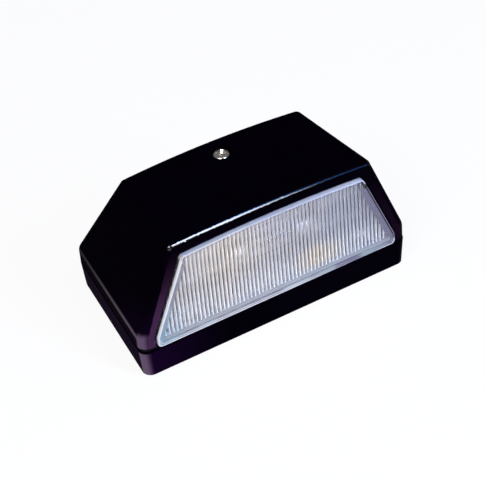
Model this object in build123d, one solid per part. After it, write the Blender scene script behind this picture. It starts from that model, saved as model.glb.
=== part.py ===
from build123d import *
import os
from math import cos, radians, sin, sqrt, tan

# Number plate lamp, in millimetres and degrees.
# It is modelled with the front face on y = 0 at the parting line and the underside on z = 0,
# then moved so that the origin is the middle of its footprint. The lens faces -Y.

# Outer form of the housing
half_length = 56.0  # half the length of the front face at the parting line
depth = 62.1  # front to back at the parting line
end_taper = 6.8  # each end turns in by this much towards the back
back_bow = 1.4  # the back bulges by this much at its middle
corner_radius = 3.3  # upright corners of the base
cover_corner_radius = 3.8
base_height = 11.2  # underside to the parting line
base_draft = 4.1  # ends and back
front_draft = 0.8
foot_edge = 0.5  # bevels round the underside and the rim
rim_edge = 0.4
skirt_height = 5.8  # parting line to the eaves
front_lean = 0.9
corner_height = 52.85  # underside to the back corners of the top
crown_rise = 1.2  # the top's middle stands above its corners by this much
top_fall = 3.2  # the top slopes down towards the front
top_half_front = 40.1
top_half_back = 37.1
top_back = 41.3
top_corner_radius = 2.0
top_edge_radius = 1.6
eave_blend = 1.0  # the eaves are rounded this far above and below

# Walls and the lapped joint between base and cover
base_wall = 2.4
floor_thickness = 2.5
cover_wall = 2.4
part_gap = 0.8  # open joint, filled by the gasket
rebate_wall = 1.2  # what is left of the cover wall outside the lip
lip_height = 3.0
lip_clearance = 0.2
gasket_inset = 0.5
gasket_width = 0.8
fit_clearance = 0.05  # close fits of pins, necks and inserts

# Lens
frame_side = 6.45  # cover left beside the lens
frame_side_top = 6.55
frame_top = 5.1  # cover left above the lens corners
crease_drop = 0.6  # the lens sides turn upright this far below the eaves
lens_arch = 1.2  # rise of the lens's top edge at its middle
lens_proud = 1.1
lens_plate = 2.4
lens_wall = 1.2
lens_corner_radius = 1.4
lens_edge = 0.4  # bevel round its front
lens_foot_clearance = 0.1  # lens above the gasket
flange_width = 1.8
flange_thickness = 1.4
lens_seal_thickness = 0.8
window_clearance = 0.25
window_bevel = 0.65
window_land = 1.2  # cover left in front of the lens flange
rib_pitch = 1.574
rib_height = 0.45
rib_land = 0.05
rib_margin = 2.8  # plain border round the ribs
keeper_thickness = 1.4  # cover's inner frame behind the lens flange
keeper_overlap = 1.0
tab_width = 3.0  # base tabs behind the foot of the lens
tab_thickness = 1.8
tab_spacing = 91.6

# Cover screw, its pillar and insert
screw_from_back = 7.1  # screw axis in front of the top's back edge
screw_radius = 1.75
screw_length = 16.0
head_radius = 3.25
head_height = 2.2
recess_length = 4.0
recess_width = 0.95
recess_depth = 1.4
washer_radius = 3.7
washer_thickness = 0.6
seat_depth = 2.9
seat_clearance = 0.4
screw_clearance = 0.35
boss_radius = 5.5
boss_height = 4.0
pillar_gap = 0.3
pillar_radius = 5.0
pillar_draft = 0.8
gusset_thickness = 1.6
gusset_height = 12.0
gusset_length = 5.0
insert_radius = 3.0
insert_length = 10.0
pilot_depth = 4.0

# Festoon bulb
bulb_y = 15.0  # behind the front face
bulb_z = 27.0
bulb_length = 36.0
glass_radius = 5.4
glass_wall = 0.6
neck_radius = 3.55
neck_length = 3.1  # glass inside each cap
shoulder_gap = 0.6
shoulder_length = 2.4
shoulder_bulge = 0.6  # where the shoulder turns, as a share of its length
shoulder_drop = 0.5
cap_radius = 4.25
cap_length = 7.0
cap_cone = 2.6
cap_tip_radius = 1.5
coil_radius = 0.45
coil_length = 12.0
lead_radius = 0.2

# Contact springs, terminals and rivets
contact_width = 7.0
contact_thickness = 0.5
contact_bend = 1.5
contact_hole_radius = 2.2
contact_head = 5.0  # contact above the bulb's axis
contact_flare = 2.0
foot_length = 14.0
pad_height = 4.5  # above the floor
pad_margin = 1.2
rivet_radius = 1.5
rivet_head_radius = 2.6
rivet_head = 0.9
rivet_recess_radius = 3.4
rivet_recess = 1.5
rivet_x = 4.4  # from the contact's upright
terminal_x = 10.4
small_screw_radius = 1.5
small_head_radius = 2.8
small_head = 1.9
slot_width = 0.8
slot_depth = 0.9
terminal_depth = 5.0
clamp_size = 6.0
clamp_thickness = 0.8

# Reflector
reflector_thickness = 0.6
reflector_floor = 12.6  # underside of its flat
reflector_bend = 7.0
reflector_gap = 3.0  # all round, from the cover
reflector_front_gap = 0.5
reflector_end_gap = 1.6  # its ends start this far behind the lens's keeper
reflector_pillar_gap = 0.8
reflector_top = 45.5
slot_clearance = 1.2
post_x = 38.0
post_radius = 3.5
post_screw_depth = 7.0

# Fixing holes and cable entry
fixing_spacing = 60.0
fixing_radius = 2.7
fixing_pad_radius = 6.0
fixing_pad = 1.5
grommet_y = 15.0
cable_radius = 3.0
grommet_waist = 4.6
grommet_flange_radius = 6.6
grommet_flange = 1.6
grommet_web = 2.0
grommet_recess_radius = 7.0
grommet_recess = 1.7

# Values that follow from those above
taper = tan(radians(end_taper))
lean = tan(radians(front_lean))
eave_z = base_height + skirt_height
rim_z = base_height + part_gap
apex_z = corner_height + crown_rise
crown_radius = (top_half_front**2 + crown_rise**2) / (2 * crown_rise)
screw_y = top_back - screw_from_back
lens_foot = part_gap + lens_foot_clearance
flange_foot = lens_foot + lens_corner_radius + lip_clearance
front_corner_z = corner_height - top_back * tan(radians(top_fall))
lens_top_z = front_corner_z - frame_top
lens_crease_z = eave_z - crease_drop
flange_front = window_land + lens_seal_thickness
lens_back = flange_front + flange_thickness
lens_front_y = lens_back / cos(radians(front_lean))
screw_top = apex_z - screw_from_back * tan(radians(top_fall))
boss_z = screw_top - cover_wall - boss_height
pillar_z = boss_z - pillar_gap
seat_z = screw_top - seat_depth
head_z = seat_z + washer_thickness
half_bulb = bulb_length / 2
cap_start = half_bulb - cap_length
cone_start = half_bulb - cap_cone
cone_slope = (cap_radius - cap_tip_radius) / cap_cone
contact_x = cone_start + (cap_radius - contact_hole_radius + fit_clearance) / cone_slope
pad_z = floor_thickness + pad_height
foot_z = pad_z + contact_thickness
tab_y = lens_front_y + lip_height * lean + lip_clearance
reflector_front = lens_front_y + reflector_front_gap
reflector_back = screw_y - pillar_radius - pillar_z * tan(radians(pillar_draft)) - reflector_pillar_gap
front_plane = Plane(
    origin=(0, 0, base_height),
    x_dir=(1, 0, 0),
    z_dir=(0, -cos(radians(front_lean)), sin(radians(front_lean))),
)


# Flat outlines


def plan(front, back, half_front, half_back, radius, inset=0.0):
    slope = (half_front - half_back) / (back - front)
    side = inset * sqrt(1 + slope**2)
    near = (half_front - slope * inset - side, front + inset)
    far = (half_back + slope * inset - side, back - inset)
    face = make_face(
        [
            Line((-near[0], near[1]), near),
            Line(near, far),
            ThreePointArc(far, (0, far[1] + back_bow), (-far[0], far[1])),
            Line((-far[0], far[1]), (-near[0], near[1])),
        ]
    )
    if inset < min(base_wall, cover_wall):
        face = fillet(face.vertices(), radius - inset)
    return face


def base_plan(z, inset=0.0, radius=corner_radius):
    below = base_height - z
    front = below * tan(radians(front_draft))
    draft_in = below * tan(radians(base_draft))
    back = depth - draft_in
    half_front = half_length - taper * front - draft_in
    half_back = half_length - taper * back - draft_in
    return Pos(0, 0, z) * plan(front, back, half_front, half_back, radius, inset)


def slope_rise(z):
    above = z - eave_z
    if above < eave_blend:
        above = max(above + eave_blend, 0) ** 2 / (4 * eave_blend)
    return above / (corner_height - eave_z)


def cover_plan(z, inset=0.0):
    front = (z - base_height) * lean
    rise = slope_rise(z)
    eave_front = half_length - taper * front
    eave_back = half_length - taper * depth
    back = depth + (top_back - depth) * rise
    half_front = eave_front + (top_half_front - eave_front) * rise
    half_back = eave_back + (top_half_back - eave_back) * rise
    radius = cover_corner_radius + (top_corner_radius - cover_corner_radius) * min(rise, 1)
    return Pos(0, 0, z) * plan(front, back, half_front, half_back, radius, inset)


def cover_half(z):
    return half_length + (top_half_front - half_length) * slope_rise(z)


def lens_outline(grow=0.0, bottom=None):
    half_bottom = half_length - frame_side
    half_top = cover_half(lens_top_z) - frame_side_top
    crease = lens_crease_z - base_height
    top = lens_top_z - base_height
    slope = (half_bottom - half_top) / (top - crease)
    side = grow * sqrt(1 + slope**2)
    if bottom is None:
        bottom = lens_foot - grow
    foot_x = half_bottom + grow
    turn = crease + (side - grow) / slope
    head_x = half_top - slope * grow + side
    head = top + grow
    face = make_face(
        [
            Polyline((-head_x, head), (-foot_x, turn), (-foot_x, bottom), (foot_x, bottom)),
            Polyline((foot_x, bottom), (foot_x, turn), (head_x, head)),
            ThreePointArc((head_x, head), (0, head + lens_arch), (-head_x, head)),
        ]
    )
    radius = max(lens_corner_radius + grow, lens_edge)
    face = fillet(face.vertices().group_by(Axis.Y)[-1], radius)
    return fillet(face.vertices().group_by(Axis.Y)[0], min(radius, (turn - bottom) / 2))


# Shared solids


def stand(radius, low, high, x=0.0, y=0.0):
    return Pos(x, y, (low + high) / 2) * Cylinder(radius, high - low)


def block(x0, x1, y0, y1, z0, z1):
    return Pos((x0 + x1) / 2, (y0 + y1) / 2, (z0 + z1) / 2) * Box(x1 - x0, y1 - y0, z1 - z0)


def crown(drop=0.0):
    ridge = Pos(0, top_back, apex_z - drop) * Rot(90 + top_fall, 0, 0)
    return ridge * Pos(0, -crown_radius, 0) * Cylinder(crown_radius, 3 * depth)


def hood(inset, low, drop):
    levels = [low]
    for step in (-1, -0.5, 0, 0.5, 1):
        levels.append(eave_z + step * eave_blend)
    levels.append(apex_z + crown_rise)
    return loft([cover_plan(z, inset) for z in levels], ruled=True) & crown(drop)


def on_front(outline, back, front):
    return front_plane * extrude(Pos(0, 0, back) * outline, amount=front - back)


def pair(solid):
    return [solid, mirror(solid, Plane.YZ)]


def folded(points, radius, thickness, side, plane, half_width):
    path = FilletPolyline(*points, radius=radius)
    profile = make_face(offset(path, amount=thickness, side=side))
    return extrude(plane * profile, amount=half_width, both=True)


def headed(radius, length, half_width, height):
    head = Cylinder(half_width, height, align=(Align.CENTER, Align.CENTER, Align.MIN))
    shank = Cylinder(radius, length, align=(Align.CENTER, Align.CENTER, Align.MAX))
    return head + shank


# Housing pieces


def make_base():
    levels = [
        base_plan(0, foot_edge),
        base_plan(foot_edge),
        base_plan(base_height - rim_edge),
        base_plan(base_height, rim_edge),
    ]
    outer = loft(levels, ruled=True)
    inside = loft([base_plan(floor_thickness, base_wall), base_plan(rim_z, base_wall)], ruled=True)
    ring = base_plan(base_height, rebate_wall + lip_clearance, cover_corner_radius)
    ring -= base_plan(base_height, base_wall)
    lip = extrude(Pos(0, 0, -rim_edge) * ring, amount=rim_edge + lip_height)
    lens_half = half_length - frame_side + flange_width + lip_clearance
    lip -= block(-lens_half, lens_half, -depth, tab_y, base_height, eave_z)
    body = outer - inside + lip
    for x in (-tab_spacing / 2, tab_spacing / 2):
        tab_x = (x - tab_width / 2, x + tab_width / 2)
        body += block(*tab_x, tab_y, tab_y + tab_thickness, floor_thickness / 2, base_height + lip_height)
    for x in (-fixing_spacing / 2, fixing_spacing / 2):
        body += stand(fixing_pad_radius, floor_thickness / 2, floor_thickness + fixing_pad, x=x, y=screw_y)
    pad_start = contact_x - pad_margin
    pad_end = contact_x + foot_length + pad_margin
    pad_half = contact_width / 2 + pad_margin
    pad = block(pad_start, pad_end, bulb_y - pad_half, bulb_y + pad_half, floor_thickness / 2, pad_z)
    body += pair(pad)
    body += pair(stand(post_radius, floor_thickness / 2, reflector_floor, x=post_x, y=bulb_y))
    body += make_pillar()
    collar = grommet_recess + grommet_web
    body += stand(grommet_recess_radius + base_wall, 0, collar, y=grommet_y)
    return body - base_holes()


def make_pillar():
    wide = pillar_radius + pillar_z * tan(radians(pillar_draft))
    height = pillar_z - floor_thickness / 2
    pillar = Pos(0, screw_y, floor_thickness / 2 + height / 2) * Cone(wide, pillar_radius, height)
    reach = wide + gusset_length
    web = make_face(Polyline((-reach, 0), (reach, 0), (0, gusset_height * 2), (-reach, 0)))
    web = extrude(Plane.XZ * web, amount=gusset_thickness / 2, both=True)
    return pillar + Pos(0, screw_y, floor_thickness / 2) * web


def base_holes():
    through = base_height
    holes = []
    for x in (-fixing_spacing / 2, fixing_spacing / 2):
        holes.append(stand(fixing_radius, -1, through, x=x, y=screw_y))
    insert_low = pillar_z - insert_length
    holes.append(stand(insert_radius + fit_clearance, insert_low - fit_clearance, apex_z, y=screw_y))
    holes.append(stand(screw_radius + screw_clearance, insert_low - pilot_depth, apex_z, y=screw_y))
    holes.append(stand(grommet_waist + fit_clearance, -1, through, y=grommet_y))
    holes.append(stand(grommet_recess_radius, -1, grommet_recess, y=grommet_y))
    rivet = stand(rivet_radius + fit_clearance, -1, pad_z + 1, x=contact_x + rivet_x, y=bulb_y)
    holes += pair(rivet + stand(rivet_recess_radius, -1, rivet_recess, x=contact_x + rivet_x, y=bulb_y))
    thread = small_screw_radius + fit_clearance
    holes += pair(stand(thread, pad_z - terminal_depth, pad_z + 1, x=contact_x + terminal_x, y=bulb_y))
    holes += pair(stand(thread, reflector_floor - post_screw_depth - 1, eave_z, x=post_x, y=bulb_y))
    return holes


def make_cover():
    outer = hood(0.0, rim_z, 0.0)
    top = outer.faces().sort_by(Axis.Z)[-1]
    outer = fillet(top.edges(), top_edge_radius)
    cavity = hood(cover_wall, base_height - 1, cover_wall)
    shell = outer - cavity
    rebate_top = base_height + lip_height + 2 * lip_clearance
    shell -= loft([cover_plan(z, rebate_wall) for z in (base_height - 1, rebate_top)], ruled=True)
    rebate = lens_outline(flange_width + lip_clearance, bottom=-base_height)
    shell -= on_front(rebate, -lens_back, -window_land)
    keeper_front = -lens_back - lip_clearance
    sheet = Rectangle(3 * half_length, 3 * corner_height)
    slab = on_front(sheet, keeper_front - keeper_thickness, keeper_front)
    slab &= cavity
    slab -= on_front(lens_outline(-keeper_overlap, bottom=-base_height), -depth, depth)
    slab -= block(-depth, depth, -depth, depth, 0, rebate_top + 2 * lip_clearance)
    shell += slab
    shell += stand(boss_radius, boss_z, screw_top - cover_wall / 2, y=screw_y)
    shell -= on_front(lens_outline(window_clearance, bottom=-base_height), -flange_front, depth)
    bevel = []
    for depth_in in (window_bevel, -window_bevel):
        edge = lens_outline(window_clearance + window_bevel - depth_in, bottom=-base_height)
        bevel.append(Pos(0, 0, -depth_in) * edge)
    shell -= front_plane * loft(bevel, ruled=True)
    shell -= stand(screw_radius + screw_clearance, boss_z - 1, apex_z + 1, y=screw_y)
    shell -= stand(washer_radius + seat_clearance, seat_z, apex_z + 1, y=screw_y)
    return shell


def make_base_gasket():
    ring = base_plan(base_height, gasket_inset) - base_plan(base_height, gasket_inset + gasket_width)
    return extrude(ring, amount=part_gap)


def lens_ribs():
    cusp = lens_proud - lens_plate - rib_land
    count = round(2 * half_length / rib_pitch)
    start = -count * rib_pitch / 2
    edge = cusp + lens_plate / 2
    flutes = []
    for i in range(count):
        x = start + i * rib_pitch
        crest = (x + rib_pitch / 2, cusp - rib_height)
        flutes.append(ThreePointArc((x, cusp), crest, (x + rib_pitch, cusp)))
    frame = Polyline((start, cusp), (start, edge), (-start, edge), (-start, cusp))
    profile = Plane.XZ * make_face([frame, *flutes])
    return extrude(profile, amount=-corner_height)


def make_lens():
    body = extrude(Pos(0, 0, -lens_back) * lens_outline(), amount=lens_back + lens_proud)
    body = chamfer(body.faces().sort_by(Axis.Z)[-1].edges(), lens_edge)
    flange = lens_outline(flange_width, flange_foot)
    flange = extrude(Pos(0, 0, -lens_back) * flange, amount=flange_thickness)
    inside = lens_back + lens_proud - lens_plate
    hollow = extrude(Pos(0, 0, -lens_back - 1) * lens_outline(-lens_wall), amount=inside + 1)
    ribbed = extrude(Pos(0, 0, -lens_back) * lens_outline(-rib_margin), amount=lens_back)
    return front_plane * (body + flange - (hollow - (lens_ribs() & ribbed)))


def make_lens_seal():
    outer = lens_outline(flange_width - lip_clearance, flange_foot)
    ring = outer - lens_outline(window_clearance, -base_height)
    return on_front(ring, -flange_front, -window_land)


# Fasteners of the cover


def make_cover_screw():
    screw = headed(screw_radius, screw_length, head_radius, head_height)
    screw = fillet(screw.edges().group_by(Axis.Z)[-1], head_height * 0.6)
    for turn in (0, 90):
        slot = Box(recess_length, recess_width, 2 * recess_depth)
        screw -= Pos(0, 0, head_height) * Rot(0, 0, turn) * slot
    return Pos(0, screw_y, head_z) * screw


def make_screw_washer():
    ring = stand(washer_radius, seat_z, head_z, y=screw_y)
    return ring - stand(screw_radius + fit_clearance, seat_z - 1, head_z + 1, y=screw_y)


def make_insert():
    sleeve = stand(insert_radius, pillar_z - insert_length, pillar_z, y=screw_y)
    return sleeve - stand(screw_radius + fit_clearance, pillar_z - insert_length - 1, pillar_z + 1, y=screw_y)


# Bulb, turned about its own axis along X


def turned(face):
    return Pos(0, bulb_y, bulb_z) * revolve(face, Axis.X)


def glass_face(inset):
    end = cap_start + neck_length - inset * 1.3
    neck = neck_radius - inset
    shoulder = cap_start - shoulder_gap - inset * 0.4
    body = shoulder - shoulder_length
    middle = (body + shoulder_bulge * shoulder_length, glass_radius - inset - shoulder_drop)
    side = [(body, glass_radius - inset), middle, (shoulder, neck), (end, neck), (end, 0)]
    outline = side + [(-x, y) for x, y in reversed(side)]
    return make_face(Polyline(*outline, close=True))


def make_bulb_glass():
    return turned(glass_face(0.0)) - turned(glass_face(glass_wall))


def make_bulb_cap():
    bore = neck_radius + fit_clearance
    floor = cap_start + neck_length + fit_clearance
    outline = [
        (cap_start, bore),
        (cap_start, cap_radius),
        (cone_start, cap_radius),
        (half_bulb, cap_tip_radius),
        (half_bulb, 0),
        (floor, 0),
        (floor, bore),
    ]
    return turned(make_face(Polyline(*outline, close=True)))


def make_filament():
    end = cap_start + neck_length - glass_wall * 1.3 - fit_clearance
    wire = Rot(0, 90, 0) * Cylinder(lead_radius, 2 * end)
    coil = Rot(0, 90, 0) * Cylinder(coil_radius, coil_length)
    return Pos(0, bulb_y, bulb_z) * (wire + coil)


# Contacts, terminals and reflector


def make_contact():
    top = bulb_z + contact_head
    path = [
        (contact_x + foot_length, pad_z),
        (contact_x, pad_z),
        (contact_x, top),
        (contact_x + contact_flare, top + contact_flare),
    ]
    spring = folded(path, contact_bend, contact_thickness, Side.RIGHT, Plane.XZ, contact_width / 2)
    spring = Pos(0, bulb_y, 0) * spring
    spring -= Pos(contact_x, bulb_y, bulb_z) * Rot(0, 90, 0) * Cylinder(contact_hole_radius, contact_flare)
    for x, radius in ((rivet_x, rivet_radius), (terminal_x, small_screw_radius)):
        spring -= stand(radius + fit_clearance, pad_z - 1, foot_z + 1, x=contact_x + x, y=bulb_y)
    return spring


def make_rivet():
    x = contact_x + rivet_x
    rivet = stand(rivet_radius, rivet_recess - rivet_head, foot_z + rivet_head, x=x, y=bulb_y)
    rivet += stand(rivet_head_radius, rivet_recess - rivet_head, rivet_recess, x=x, y=bulb_y)
    return rivet + stand(rivet_head_radius, foot_z, foot_z + rivet_head, x=x, y=bulb_y)


def slotted_screw(length):
    screw = headed(small_screw_radius, length, small_head_radius, small_head)
    screw = chamfer(screw.edges().group_by(Axis.Z)[-1], small_head * 0.3)
    slot = Box(3 * small_head_radius, slot_width, slot_depth, align=(Align.CENTER, Align.CENTER, Align.MAX))
    return screw - Pos(0, 0, small_head) * slot


def make_terminal_screw():
    length = clamp_thickness + contact_thickness + terminal_depth - 1
    return Pos(contact_x + terminal_x, bulb_y, foot_z + clamp_thickness) * slotted_screw(length)


def make_terminal_clamp():
    half = clamp_size / 2
    x = contact_x + terminal_x
    plate = block(x - half, x + half, bulb_y - half, bulb_y + half, foot_z, foot_z + clamp_thickness)
    return plate - stand(small_screw_radius + fit_clearance, foot_z - 1, foot_z + 2, x=x, y=bulb_y)


def make_reflector():
    path = [
        (reflector_front, reflector_floor),
        (reflector_back, reflector_floor),
        (reflector_back, reflector_top),
    ]
    outer_bend = reflector_bend + reflector_thickness
    inset = cover_wall + reflector_gap
    limit = hood(inset, base_height / 2, inset)
    sheet = limit & folded(path, outer_bend, reflector_thickness, Side.LEFT, Plane.YZ, half_length)
    ends_front = lens_front_y + lip_clearance + keeper_thickness + reflector_end_gap
    start = (ends_front, reflector_floor)
    bend = FilletPolyline(start, *path[1:], radius=outer_bend)
    trough = make_face([bend, Polyline(path[2], (ends_front, reflector_top), start)])
    ends = limit - hood(inset + reflector_thickness, base_height / 2, inset)
    sheet += ends & extrude(Plane.YZ * trough, amount=half_length, both=True)
    half = contact_width / 2 + slot_clearance
    slot_end = contact_x + contact_thickness + slot_clearance
    slot_top = reflector_floor + reflector_bend
    slot = block(contact_x - slot_clearance, slot_end, bulb_y - half, bulb_y + half, pad_z, slot_top)
    notch_start = (tab_spacing - tab_width) / 2 - reflector_front_gap
    notch_back = tab_y + tab_thickness + reflector_front_gap
    notch = block(notch_start, half_length, 0, notch_back, pad_z, slot_top)
    for gap in pair(slot) + pair(notch):
        sheet -= gap
    for hole in pair(stand(small_screw_radius + fit_clearance, 0, eave_z, x=post_x, y=bulb_y)):
        sheet -= hole
    return sheet


def make_reflector_screw():
    seat = reflector_floor + reflector_thickness
    return Pos(post_x, bulb_y, seat) * slotted_screw(post_screw_depth)


def make_grommet():
    low = grommet_recess - grommet_flange
    collar = grommet_recess + grommet_web
    high = collar + grommet_flange
    ring = stand(grommet_waist, low, high, y=grommet_y)
    ring += stand(grommet_flange_radius, low, grommet_recess, y=grommet_y)
    ring += stand(grommet_flange_radius, collar, high, y=grommet_y)
    return ring - stand(cable_radius, low - 1, high + 1, y=grommet_y)


def all_pieces():
    contact = make_contact()
    cap = make_bulb_cap()
    return {
        "base_housing": make_base(),
        "cover": make_cover(),
        "lens": make_lens(),
        "lens_seal": make_lens_seal(),
        "base_gasket": make_base_gasket(),
        "cover_screw": make_cover_screw(),
        "screw_seal_washer": make_screw_washer(),
        "threaded_insert": make_insert(),
        "bulb_glass": make_bulb_glass(),
        "bulb_cap_right": cap,
        "bulb_cap_left": mirror(cap, Plane.YZ),
        "bulb_filament": make_filament(),
        "contact_spring_right": contact,
        "contact_spring_left": mirror(contact, Plane.YZ),
        "contact_rivets": Compound(pair(make_rivet())),
        "terminal_screws": Compound(pair(make_terminal_screw())),
        "terminal_clamps": Compound(pair(make_terminal_clamp())),
        "reflector": make_reflector(),
        "reflector_screws": Compound(pair(make_reflector_screw())),
        "cable_grommet": make_grommet(),
    }


def main():
    pieces = all_pieces()
    middle = Compound(list(pieces.values())).bounding_box().center()
    print("front face at the parting line is at y", round(-middle.Y, 4))
    os.makedirs("parts", exist_ok=True)
    for name, solid in pieces.items():
        export_step(Pos(0, -middle.Y, 0) * solid, f"parts/{name}.step")


main()
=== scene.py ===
import math
from types import SimpleNamespace

import bmesh
import bpy
from mathutils import Matrix, Vector


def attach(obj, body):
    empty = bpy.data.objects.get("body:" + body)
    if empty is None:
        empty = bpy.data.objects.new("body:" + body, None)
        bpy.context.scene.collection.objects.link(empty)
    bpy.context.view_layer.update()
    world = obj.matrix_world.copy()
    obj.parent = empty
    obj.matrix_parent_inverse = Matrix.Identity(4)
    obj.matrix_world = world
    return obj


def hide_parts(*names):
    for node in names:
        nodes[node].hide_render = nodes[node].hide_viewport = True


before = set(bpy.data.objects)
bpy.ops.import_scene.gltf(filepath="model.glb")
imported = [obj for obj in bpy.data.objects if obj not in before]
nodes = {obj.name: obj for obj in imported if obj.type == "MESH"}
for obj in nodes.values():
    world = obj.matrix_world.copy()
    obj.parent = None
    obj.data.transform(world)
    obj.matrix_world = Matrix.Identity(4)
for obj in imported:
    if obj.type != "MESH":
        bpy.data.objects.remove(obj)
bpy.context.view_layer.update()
scene = bpy.context.scene
mm = 0.001
frontY = -31.2103  # front face at the parting
middleY = frontY + 15.0  # line of the bulb, its fasteners and the grommet
screwY = frontY + 34.2  # line of the cover screw
parting = 11.2  # height of the joint between base and cover
print("lamp loaded,", len(nodes), "solids")


class Wire:  # one socket of a node tree
    def __init__(self, tree, socket=None):
        self.tree = tree
        self.socket = socket

    def node(self, kind, settings=None, sockets=None, out=0):
        made = self.tree.nodes.new(kind)
        for name, value in (settings or {}).items():
            setattr(made, name, value)
        for name, value in (sockets or {}).items():
            if isinstance(value, Wire):
                self.tree.links.new(value.socket, made.inputs[name])
            else:
                made.inputs[name].default_value = value
        return Wire(self.tree, made.outputs[out] if made.outputs else None)

    def maths(self, operation, *others):
        return self.node("ShaderNodeMath", {"operation": operation}, dict(enumerate((self, *others))))

    def parts(self):  # in millimetres
        split = self.node("ShaderNodeSeparateXYZ", sockets={"Vector": self}).socket.node
        return [Wire(self.tree, split.outputs[axis]) / mm for axis in "XYZ"]

    def cloud(self, scale, detail):
        return self.node("ShaderNodeTexNoise", sockets={"Vector": self, "Scale": scale, "Detail": detail})

    def stretched(self, scale):
        return self.node("ShaderNodeMapping", sockets={"Vector": self, "Scale": scale})

    def stored(self, name):  # a value kept on the mesh
        return self.node("ShaderNodeAttribute", {"attribute_name": name}, out="Fac")

    def relief(self, strength, distance):
        sockets = {"Height": self, "Strength": strength, "Distance": distance}
        return self.node("ShaderNodeBump", sockets=sockets)

    def ramp(self, limits, level=0):  # 0 at the first limit over a level, 1 at the second
        start, full = limits
        return self.node("ShaderNodeMapRange", {"interpolation_type": "SMOOTHSTEP"}, {
            "Value": self, "From Min": level + start, "From Max": level + full,
        })

    def band(self, limits, level=0):  # 0, 1, still 1 and 0 again
        start, full, fading, end = limits
        return self.ramp((start, full), level) * self.ramp((end, fading), level)

    def blend(self, first, second):  # the second colour where this is 1
        return self.node("ShaderNodeMix", {"data_type": "RGBA"}, {0: self, 6: first, 7: second}, out=2)

    def capped(self):
        return self.maths("MINIMUM", 1.0)

    def __or__(self, other):  # the larger of two masks
        return self.maths("MAXIMUM", other)

    def __add__(self, other):
        return self.maths("ADD", other)

    def __sub__(self, other):
        return self.maths("SUBTRACT", other)

    def __rsub__(self, other):
        return self * -1 + other

    def __mul__(self, other):
        return self.maths("MULTIPLY", other)

    def __truediv__(self, other):
        return self.maths("DIVIDE", other)

    __radd__ = __add__
    __rmul__ = __mul__


# Finishes that several pieces share, and what every finish needs

def startFinish(name):
    made = bpy.data.materials.new(name)
    made.use_nodes = True
    made.node_tree.nodes.clear()
    return made, Wire(made.node_tree).node("ShaderNodeTexCoord", out="Object")


def closeFinish(wire, sockets):
    shader = wire.node("ShaderNodeBsdfPrincipled", sockets=sockets)
    wire.node("ShaderNodeOutputMaterial", sockets={"Surface": shader})


def closeMixed(wire, share, first, second):
    mixed = wire.node("ShaderNodeMixShader", sockets={0: share, 1: first, 2: second})
    wire.node("ShaderNodeOutputMaterial", sockets={"Surface": mixed})


def oval(across, along, wide, tall):  # 1 in the middle, 0 at the rim
    away = (across / wide).maths("POWER", 2.0) + (along / tall).maths("POWER", 2.0)
    return away.ramp((1.0, 0.0))


def atLeast(least, mask):
    return least + (1 - least) * mask


metalFinish = {  # darker and paler tone, gloss and its spread, stretch and scale of the streaks
    "nickel": ("brightNickel", (0.62, 0.57, 0.50, 1), (0.86, 0.82, 0.76, 1), 0.14, 0.16, (1, 1, 1), 700),
    "zinc": ("zincPlate", (0.46, 0.47, 0.50, 1), (0.72, 0.73, 0.76, 1), 0.24, 0.24, (1, 1, 1), 500),
    "brass": ("rolledBrass", (0.62, 0.36, 0.12, 1), (0.88, 0.60, 0.26, 1), 0.20, 0.22, (40, 1400, 1400), 1),
    "tungsten": ("filamentWire", (0.16, 0.16, 0.17, 1), (0.34, 0.34, 0.36, 1), 0.35, 0.20, (1, 1, 1), 3000),
}


def metalWear(place, streaks, scale):
    lines = place.stretched(streaks).cloud(scale, 3)
    return place.cloud(120, 4), lines, lines.relief(0.06, 0.0002)


def metal(name, deep, pale, gloss, spread, streaks, scale):
    made, place = startFinish(name)
    tarnish, lines, scratches = metalWear(place, streaks, scale)
    closeFinish(place, {
        "Base Color": (tarnish * 0.6 + lines * 0.4).blend(deep, pale),
        "Metallic": 1.0,
        "Roughness": gloss + spread * (0.5 * lines + 0.5 * tarnish),
        "Normal": scratches,
    })
    return made


rubberFinish = {
    "deep": (0.002, 0.002, 0.0022, 1),
    "bloom": (0.006, 0.006, 0.0065, 1),
    "bloomScale": 160,
    "poreScale": 3200,
    "gloss": 0.6,
    "glossSpread": 0.25,
    "shine": 0.02,
    "pores": 0.2,
}


def sealRubber():
    spec = rubberFinish
    made, place = startFinish("sealRubber")
    bloom = place.cloud(spec["bloomScale"], 4)
    pores = place.cloud(spec["poreScale"], 2)
    closeFinish(place, {
        "Base Color": bloom.blend(spec["deep"], spec["bloom"]),
        "Roughness": spec["gloss"] + spec["glossSpread"] * bloom,
        "Specular IOR Level": spec["shine"],
        "Normal": pores.relief(spec["pores"], 0.0002),
    })
    return made


bulbFinish = {
    "clear": (0.99, 0.99, 1.0, 1),
    "smokeAndShade": (0.93, 0.94, 0.95, 1),
    "smokeScale": 90,
    "gloss": 0.01,
    "glossSpread": 0.03,
    "index": 1.5,
}


def clearBulbGlass():
    spec = bulbFinish
    made, place = startFinish("bulbGlassClear")
    smoke = place.cloud(spec["smokeScale"], 3)
    closeFinish(place, {
        "Base Color": smoke.blend(spec["clear"], spec["smokeAndShade"]),
        "Roughness": spec["gloss"] + spec["glossSpread"] * smoke,
        "IOR": spec["index"],
        "Transmission Weight": 1.0,
    })
    return made


finishes = {name: metal(*settings) for name, settings in metalFinish.items()}
finishes["rubber"] = sealRubber()
finishes["bulb"] = clearBulbGlass()
print("shared finishes made:", len(finishes))


# Mesh helpers, in millimetres until the mesh is made

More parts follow.
